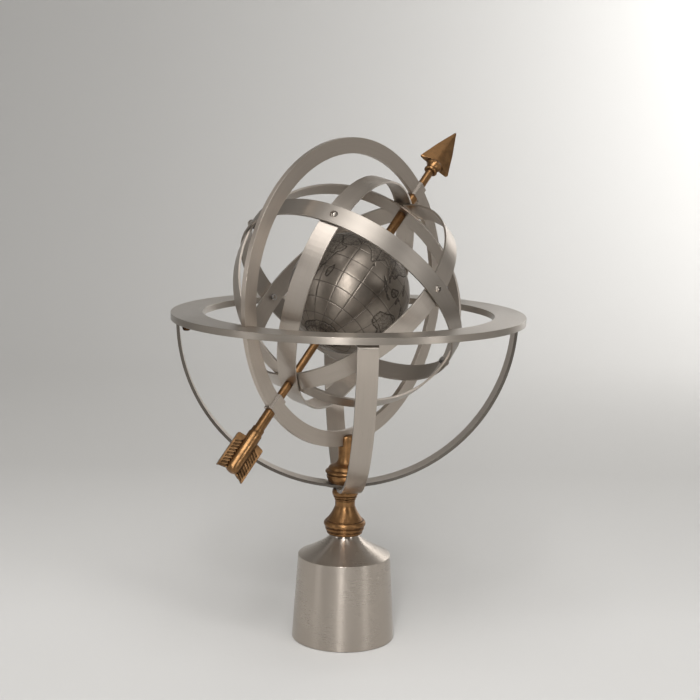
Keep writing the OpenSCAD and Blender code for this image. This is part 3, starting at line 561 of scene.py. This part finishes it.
def make_globe(columns=760, rows=380):
    """The globe with its graticule and shores cut into it."""
    hole = math.asin(GLOBE_HOLE_R / GLOBE_R)
    lat = np.linspace(-math.pi / 2 + hole, math.pi / 2 - hole, rows)
    lon = np.arange(columns) * 2 * math.pi / columns
    lon_grid, lat_grid = np.meshgrid(lon, lat)
    lon_deg, lat_deg = np.degrees(lon_grid).ravel(), np.degrees(lat_grid).ravel()
    units = on_sphere(lon_deg, lat_deg)
    depth = groove_share(units, lon_deg, lat_deg)
    spots = units * (GLOBE_R - GLOBE_INSET - depth[:, None] * GROOVE_DEPTH)
    axes = np.array([list(axis) for axis in globe_axes()])
    spots = with_lips(spots, rows, columns) @ axes + np.array(list(CENTRE))
    index = np.arange((rows + 2) * columns).reshape(rows + 2, columns)
    right = np.roll(index, -1, axis=1)
    faces = np.stack([index[:-1], right[:-1], right[1:], index[1:]], axis=-1).reshape(-1, 4)
    mesh = bpy.data.meshes.new("globe_engraved")
    mesh.from_pydata(spots.tolist(), [], faces.tolist())
    lip = np.zeros(columns)
    for name, share in (("groove", depth), ("land", on_land(lon_deg, lat_deg))):
        values = np.concatenate([lip, share, lip]).astype(np.float32)
        mesh.attributes.new(name, "FLOAT", "POINT").data.foreach_set("value", values)
    mesh.polygons.foreach_set("use_smooth", np.ones(len(faces), bool))
    mesh.materials.append(globe_metal())
    globe = add_object("globe_engraved", mesh)
    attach(globe, "globe")
    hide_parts("globe_north_half", "globe_south_half")


def globe_axes():
    """The globe's axes in the row frame, turned so that the Indian Ocean faces the camera."""
    to_camera = CAMERA_PLACE - CENTRE
    front = (to_camera - POLE * to_camera.dot(POLE)).normalized()
    side = POLE.cross(front)
    turn = math.radians(-FRONT_LONGITUDE)
    x_axis = front * math.cos(turn) + side * math.sin(turn)
    return x_axis, POLE.cross(x_axis), POLE


def globe_metal():
    """Satin metal with dark grooves and stippled land, its fine lines spun about the poles."""
    shader = Shader("globe pewter")
    direction, across, tangent = ring_coordinates(shader, POLE, CENTRE)
    lines = fine_lines(shader, direction, across)
    patches = shader.noise(shader.position(), TARNISH_PER_M, detail=5.0, roughness=0.7)
    cut = shader.node("Attribute", attribute_name="groove").outputs["Fac"]
    land = shader.node("Attribute", attribute_name="land").outputs["Fac"]
    dots = shader.noise(shader.position(), STIPPLE_PER_M, detail=3.0, roughness=0.6)
    stipple = shader.math("MULTIPLY", land, dots)
    tarnish = shader.math("ADD", shader.spread(patches, 0.40, 0.75, 0.0, 0.35),
                          shader.spread(stipple, 0.38, 0.62, 0.0, 0.6))
    share = shader.math("ADD", shader.math("MULTIPLY", cut, 1.1), tarnish, clamp=True)
    fine = shader.bump(shader.math("ADD", lines, patches), 0.14, 0.08 * MM)
    return shader.finish(
        Base_Color=shader.blend(share, PEWTER, GROOVE_PATINA), Metallic=1.0,
        Roughness=shader.spread(share, 0.0, 1.0, 0.38, 0.58), Anisotropic=0.45,
        Anisotropic_Rotation=ACROSS_GRAIN, Tangent=tangent,
        Normal=shader.bump(stipple, 0.35, 0.35 * MM, fine))


# Cage screws

EQUATOR_R = 99.2 * MM
HEAD_R = 3.2 * MM
HEAD_H = 2.2 * MM
SHANK_R = 1.5 * MM
SHANK_L = 6.5 * MM
RECESS_ARM = 0.42 * MM
RECESS_REACH = 1.75 * MM
RECESS_DEPTH = 1.0 * MM
FIRST_SPIN = 25
SPIN_STEP = 37


def head_height(x, y):
    """Height of a round head with a cross recess at a point of its top."""
    dome = (HEAD_R ** 2 + HEAD_H ** 2) / (2 * HEAD_H)
    top = math.sqrt(max(dome ** 2 - x * x - y * y, 0)) - dome + HEAD_H
    low, high = sorted((abs(x), abs(y)))
    inside = low < RECESS_ARM and high < RECESS_REACH
    return top - RECESS_DEPTH if inside else top


def add_screw(mesh, place, steps=64, rings=18):
    """One screw, its head's base on the band and its shank through it. The rings of the outline
    without a height follow the head's round top."""
    outline = [(SHANK_R, -SHANK_L), (SHANK_R, 0), (HEAD_R, 0)]
    outline += [(HEAD_R * (1 - ring / rings), None) for ring in range(1, rings)]
    rows = []
    for radius, height in outline:
        row = []
        for k in range(steps):
            x = radius * math.cos(2 * math.pi * k / steps)
            y = radius * math.sin(2 * math.pi * k / steps)
            z = head_height(x, y) if height is None else height
            row.append(mesh.verts.new(place @ Vector((x, y, z))))
        rows.append(row)
    for low, high in zip(rows, rows[1:]):
        for k in range(steps):
            mesh.faces.new((low[k], low[(k + 1) % steps], high[(k + 1) % steps], high[k]))
    mesh.faces.new(rows[-1])
    mesh.faces.new(rows[0][::-1])


def make_cage_screws():
    """Round-headed screws with cross recesses where the colure bands cross the equator band. Each
    has stopped at an angle of its own."""
    mesh = bmesh.new()
    for index in range(360 // CAGE_STEP):
        turn = math.radians(CAGE_TURN + CAGE_STEP * index)
        out = POLE_SIDE * math.cos(turn) + UP_SIDE * math.sin(turn)
        side = POLE.cross(out)
        spin = math.radians(FIRST_SPIN + SPIN_STEP * index)
        x_axis = POLE * math.cos(spin) + side * math.sin(spin)
        add_screw(mesh, axes_at(CENTRE + out * EQUATOR_R, x_axis, out.cross(x_axis), out))
    data = bpy.data.meshes.new("cage_screw_heads")
    mesh.to_mesh(data)
    mesh.free()
    data.materials.append(brushed("screw nickel", NICKEL, POLE, CENTRE, roughness=0.25,
                                  edge=0.1 * MM))
    screws = add_object("cage_screw_heads", data)
    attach(screws, "cage")
    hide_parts("cage_screws")


# Studio

# Paper colours between which the floor's painted light and shade are blended.
PAPER_IN_PAINTED_SHADE = (0.44, 0.432, 0.417)
PAPER_IN_PAINTED_LIGHT = (0.72, 0.712, 0.697)
PAPER_GRAIN_PER_M = 400.0
ROOM_COLOUR = (1.0, 0.97, 0.93, 1)
BRIGHT_ROOM = 0.42
DARK_ROOM = 0.12
FLOOR_DROP = 0.2 * MM
FLOOR_FRONT = -3.5
WALL_DEPTH = 2.2
WALL_H = 3.2
BEND_R = 0.9
BEND_POINTS = 25
HALF_WIDTH = 4.5


def rightwards(ahead):
    """The level direction to the right of the picture."""
    return Vector((ahead.y, -ahead.x, 0))


def floor_material(ahead):
    """Pale seamless paper with painted shade and light: darker to the left of the picture, in front
    and behind, and lighter to the right.
    """
    shader = Shader("paper")
    place = shader.position()
    fine = shader.noise(place, PAPER_GRAIN_PER_M, detail=3.0)
    across = shader.vector("DOT_PRODUCT", place, tuple(rightwards(ahead)))
    depth = shader.vector("DOT_PRODUCT", place, tuple(ahead))
    # Painted light and shade: the paper's colour changes across and in depth as the light would fall
    # on it.
    share = shader.math("ADD", shader.spread(across, -0.5, 0.9, 0.12, 0.36),
                        shader.spread(depth, 0.05, 0.6, 0.5, 0.0))
    share = shader.math("ADD", share, shader.spread(depth, -0.4, 0.0, -0.26, 0.0))
    share = shader.math("ADD", share, shader.math("MULTIPLY", fine, 0.04))
    return shader.finish(Base_Color=shader.blend(share, PAPER_IN_PAINTED_SHADE, PAPER_IN_PAINTED_LIGHT), Roughness=0.9,
                         Normal=shader.bump(fine, 0.05, 0.1 * MM))


def make_backdrop(ahead):
    """A floor that curves up into a wall behind the object."""
    right = rightwards(ahead)
    bend_start = WALL_DEPTH - BEND_R
    profile = [(FLOOR_FRONT, 0.0), (0.0, 0.0), (bend_start, 0.0)]
    for angle in np.linspace(0, math.pi / 2, BEND_POINTS)[1:]:
        profile.append((bend_start + BEND_R * math.sin(angle), BEND_R * (1 - math.cos(angle))))
    profile.append((WALL_DEPTH, WALL_H))
    verts = []
    for depth, up in profile:
        for side in (-HALF_WIDTH, HALF_WIDTH):
            verts.append(tuple(ahead * depth + right * side + UP * (up - FLOOR_DROP)))
    faces = [(2 * k, 2 * k + 1, 2 * k + 3, 2 * k + 2) for k in range(len(profile) - 1)]
    mesh = bpy.data.meshes.new("studio_floor")
    mesh.from_pydata(verts, [], faces)
    mesh.polygons.foreach_set("use_smooth", [True] * len(faces))
    mesh.materials.append(floor_material(ahead))
    floor = add_object("studio_floor", mesh)


def area_light(name, place, target, width, height, watts):
    """A soft box of a size in metres, aimed at a target."""
    data = bpy.data.lights.new(name, "AREA")
    data.shape = "RECTANGLE"
    data.size, data.size_y = width, height
    data.energy = watts
    light = add_object(name, data)
    light.location = place
    light.rotation_mode = "QUATERNION"
    light.rotation_quaternion = (target - place).to_track_quat("-Z", "Y")


def make_lights(ahead):
    """Soft boxes: a tall one over the camera, one to its right, a weak one at the left, one over
    the object, and one that brightens the wall behind and to the right."""
    right = rightwards(ahead)
    aim = UP * 0.2
    glow_aim = ahead * 2.1 + right * 1.2 + UP * 1.0
    area_light("front box", -ahead * 1.7 - right * 0.17 + UP * 1.1, aim,
               width=0.24, height=1.7, watts=20)
    area_light("right box", -ahead * 1.2 + right * 1.6 + UP * 0.8, aim,
               width=0.3, height=1.1, watts=7)
    area_light("left box", -ahead * 1.0 - right * 1.95 + UP * 0.8, aim,
               width=0.4, height=1.2, watts=4)
    area_light("top box", UP * 2.4 - ahead * 1.3, aim,
               width=1.8, height=1.8, watts=40)
    area_light("wall box", ahead * 1.4 + right * 1.5 + UP * 1.4, glow_aim,
               width=0.5, height=0.5, watts=35)


def make_world(ahead):
    """A bright room behind the object that falls off to a dark one behind the camera."""
    world = bpy.data.worlds.new("studio")
    world.use_nodes = True
    tree = world.node_tree
    background = tree.nodes["Background"]
    background.inputs["Color"].default_value = ROOM_COLOUR
    direction = tree.nodes.new("ShaderNodeTexCoord")
    towards_camera = tree.nodes.new("ShaderNodeVectorMath")
    towards_camera.operation = "DOT_PRODUCT"
    towards_camera.inputs[1].default_value = -ahead
    strength = tree.nodes.new("ShaderNodeMapRange")
    strength.interpolation_type = "SMOOTHSTEP"
    limits = {"From Min": -0.3, "From Max": 0.9, "To Min": BRIGHT_ROOM, "To Max": DARK_ROOM}
    for key, number in limits.items():
        strength.inputs[key].default_value = number
    tree.links.new(direction.outputs["Generated"], towards_camera.inputs[0])
    tree.links.new(towards_camera.outputs["Value"], strength.inputs["Value"])
    tree.links.new(strength.outputs[0], background.inputs["Strength"])
    bpy.context.scene.world = world


bpy.context.scene.view_settings.view_transform = "Standard"
view_direction = make_camera()
dress_sheet()
dress_turned_brass()
dress_steel_felt_and_iron()
make_globe()
make_cage_screws()
make_backdrop(view_direction)
make_lights(view_direction)
make_world(view_direction)
